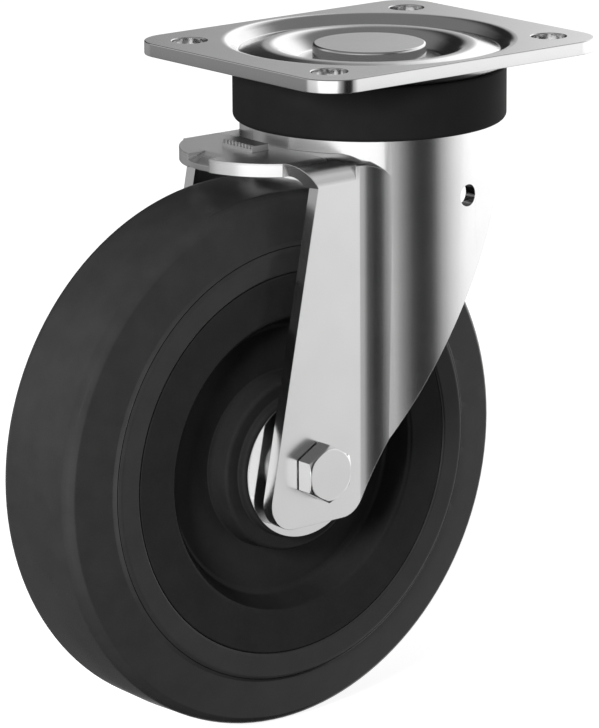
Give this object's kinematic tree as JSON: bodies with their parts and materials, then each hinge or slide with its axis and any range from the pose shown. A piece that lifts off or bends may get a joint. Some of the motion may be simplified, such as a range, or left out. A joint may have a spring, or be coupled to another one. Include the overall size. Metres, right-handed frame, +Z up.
{
  "type": "swivel castor",
  "caption": "Swivel castor with a bolted top plate, a pressed steel fork and a solid black rubber tyred wheel",
  "frame": {"origin": "centre of the top plate's upper face, on the swivel axis, where the castor bolts to what it carries", "axes": "+Z up out of the plate's upper face along the swivel axis; +X along the direction of travel, so the wheel trails at -X; the axle bolt's head is at -Y"},
  "size_m": [0.224, 0.114, 0.2463],
  "materials": {
    "zinc": "bright zinc plated",
    "bolt_zinc": "bright zinc plated",
    "disc_zinc": "mirror bright zinc",
    "ball_steel": "polished bearing steel",
    "seal_plastic": "black moulded",
    "nylon": "natural nylon",
    "wheel_iron": "black satin paint",
    "rubber": "solid black rubber, semi-gloss"
  },
  "bodies": {
    "plate": {"top_plate": "zinc", "kingpin": "zinc", "lower_race": "zinc", "kingpin_washer": "zinc", "kingpin_nut": "zinc", "swivel_seal": "seal_plastic"},
    "upper_row": {"upper_balls": "ball_steel"},
    "lower_row": {"lower_balls": "ball_steel"},
    "yoke": {"fork": "zinc", "axle_bolt": "bolt_zinc", "axle_nut": "bolt_zinc", "nut_collar": "nylon", "axle_tube": "zinc", "disc_near": "disc_zinc", "disc_far": "disc_zinc", "bearing_spacer": "zinc", "inner_ring_near": "ball_steel", "inner_ring_far": "ball_steel"},
    "bearing_row": {"bearing_balls_near": "ball_steel", "bearing_balls_far": "ball_steel", "cage_near": "nylon", "cage_far": "nylon"},
    "wheel": {"wheel_centre": "wheel_iron", "tyre": "rubber", "outer_ring_near": "ball_steel", "outer_ring_far": "ball_steel", "shields_near": "seal_plastic", "shields_far": "seal_plastic"}
  },
  "joints": [
    {"name": "swivel", "type": "hinge", "parent": "plate", "child": "yoke", "pos_m": [0, 0, 0], "axis": [0, 0, 1], "continuous": true},
    {"name": "wheel_spin", "type": "hinge", "parent": "yoke", "child": "wheel", "pos_m": [-0.0565, 0, -0.1463], "axis": [0, 1, 0], "continuous": true},
    {"name": "upper_row_roll", "type": "hinge", "parent": "plate", "child": "upper_row", "pos_m": [0, 0, -0.0119], "axis": [0, 0, 1], "continuous": true},
    {"name": "lower_row_roll", "type": "hinge", "parent": "plate", "child": "lower_row", "pos_m": [0, 0, -0.0241], "axis": [0, 0, 1], "continuous": true},
    {"name": "bearing_row_roll", "type": "hinge", "parent": "yoke", "child": "bearing_row", "pos_m": [-0.0565, 0, -0.1463], "axis": [0, 1, 0], "continuous": true}
  ],
  "couplings": [
    {"joint": "upper_row_roll", "follows": "swivel", "ratio": 0.5},
    {"joint": "lower_row_roll", "follows": "swivel", "ratio": 0.5},
    {"joint": "bearing_row_roll", "follows": "wheel_spin", "ratio": 0.618}
  ]
}
